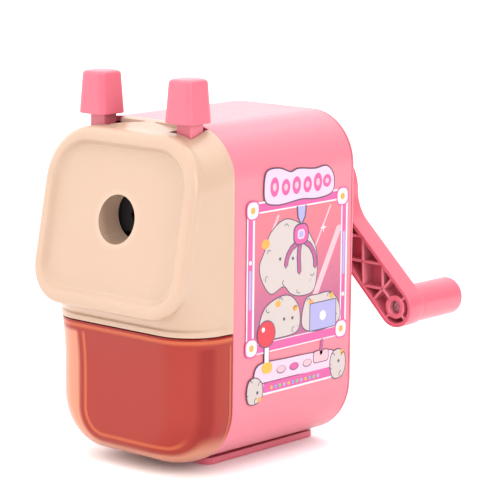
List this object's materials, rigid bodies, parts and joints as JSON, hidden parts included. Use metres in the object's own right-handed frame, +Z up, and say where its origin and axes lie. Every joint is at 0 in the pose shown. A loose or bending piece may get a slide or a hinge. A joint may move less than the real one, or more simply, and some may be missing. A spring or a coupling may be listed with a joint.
{
  "type": "pencil sharpener",
  "caption": "Hand-crank desktop pencil sharpener with a spring-fed cream head, two squeeze buttons, a clear shavings drawer and a turning crank handle.",
  "frame": {"origin": "middle of the foot plate's underside", "axes": "+Z up, +Y back towards the crank, +X to the right seen from the front, the side whose window panel is printed"},
  "size_m": [0.0776, 0.1321, 0.126],
  "materials": {
    "pink_plastic": "satin moulded pink",
    "cream_plastic": "satin moulded cream",
    "clear_orange_plastic": "clear smoked orange-red",
    "dark_plastic": "black moulded",
    "steel": "bright drawn steel",
    "hardened_steel": "milled hardened steel",
    "zinc_casting": "grey die casting",
    "brass": "machined brass"
  },
  "bodies": {
    "housing": {"housing_shell": "pink_plastic", "rear_cover": "pink_plastic", "rear_screw_1": "steel", "rear_screw_2": "steel", "foot_plate": "pink_plastic", "foot_screw_1": "steel", "foot_screw_2": "steel", "foot_screw_3": "steel", "foot_screw_4": "steel", "inner_frame": "dark_plastic", "bearing_cup": "pink_plastic", "ring_gear": "dark_plastic", "left_feed_spring": "steel", "right_feed_spring": "steel"},
    "crank": {"cutter_carrier": "zinc_casting", "cutter_axle": "steel", "crank_arm": "pink_plastic", "crank_screw": "steel"},
    "cutter": {"helical_cutter": "hardened_steel", "cutter_pinion": "brass"},
    "handle": {"grip": "pink_plastic", "grip_retainer": "steel"},
    "feed_head": {"head_cover": "cream_plastic", "clamp_plate": "dark_plastic", "left_guide_rod": "steel", "right_guide_rod": "steel", "left_rod_clip": "hardened_steel", "right_rod_clip": "hardened_steel", "left_lever_pin": "steel", "right_lever_pin": "steel", "lever_spring": "steel"},
    "left_lever": {"left_button": "pink_plastic", "left_jaw": "dark_plastic"},
    "right_lever": {"right_button": "pink_plastic", "right_jaw": "dark_plastic"},
    "drawer": {"shavings_drawer": "clear_orange_plastic"}
  },
  "joints": [
    {"name": "crank_spin", "type": "hinge", "parent": "housing", "child": "crank", "pos_m": [0, 0.03, 0.081], "axis": [0, 1, 0], "continuous": true},
    {"name": "cutter_spin", "type": "hinge", "parent": "crank", "child": "cutter", "pos_m": [0, -0.00639, 0.07146], "axis": [0, 0.9816, 0.1908], "continuous": true},
    {"name": "grip_spin", "type": "hinge", "parent": "crank", "child": "handle", "pos_m": [0.03776, 0.05, 0.04453], "axis": [0, 1, 0], "continuous": true},
    {"name": "head_slide", "type": "slide", "parent": "housing", "child": "feed_head", "axis": [0, -1, 0], "range_m": [0, 0.03], "stiffness_N_per_m": 60, "springref_m": -0.03, "deforming": ["left_feed_spring", "right_feed_spring"]},
    {"name": "left_squeeze", "type": "hinge", "parent": "feed_head", "child": "left_lever", "pos_m": [-0.015, -0.037, 0.097], "axis": [0, 1, 0], "range_deg": [0, 9], "stiffness_Nm_per_rad": 0.15, "springref_deg": -17.19, "deforming": ["lever_spring"]},
    {"name": "right_squeeze", "type": "hinge", "parent": "feed_head", "child": "right_lever", "pos_m": [0.015, -0.037, 0.097], "axis": [0, -1, 0], "range_deg": [0, 9], "stiffness_Nm_per_rad": 0.15, "springref_deg": -17.19, "deforming": ["lever_spring"]},
    {"name": "drawer_slide", "type": "slide", "parent": "housing", "child": "drawer", "axis": [0, -1, 0], "range_m": [0, 0.05]}
  ],
  "couplings": [
    {"joint": "cutter_spin", "follows": "crank_spin", "ratio": -2.0833}
  ]
}
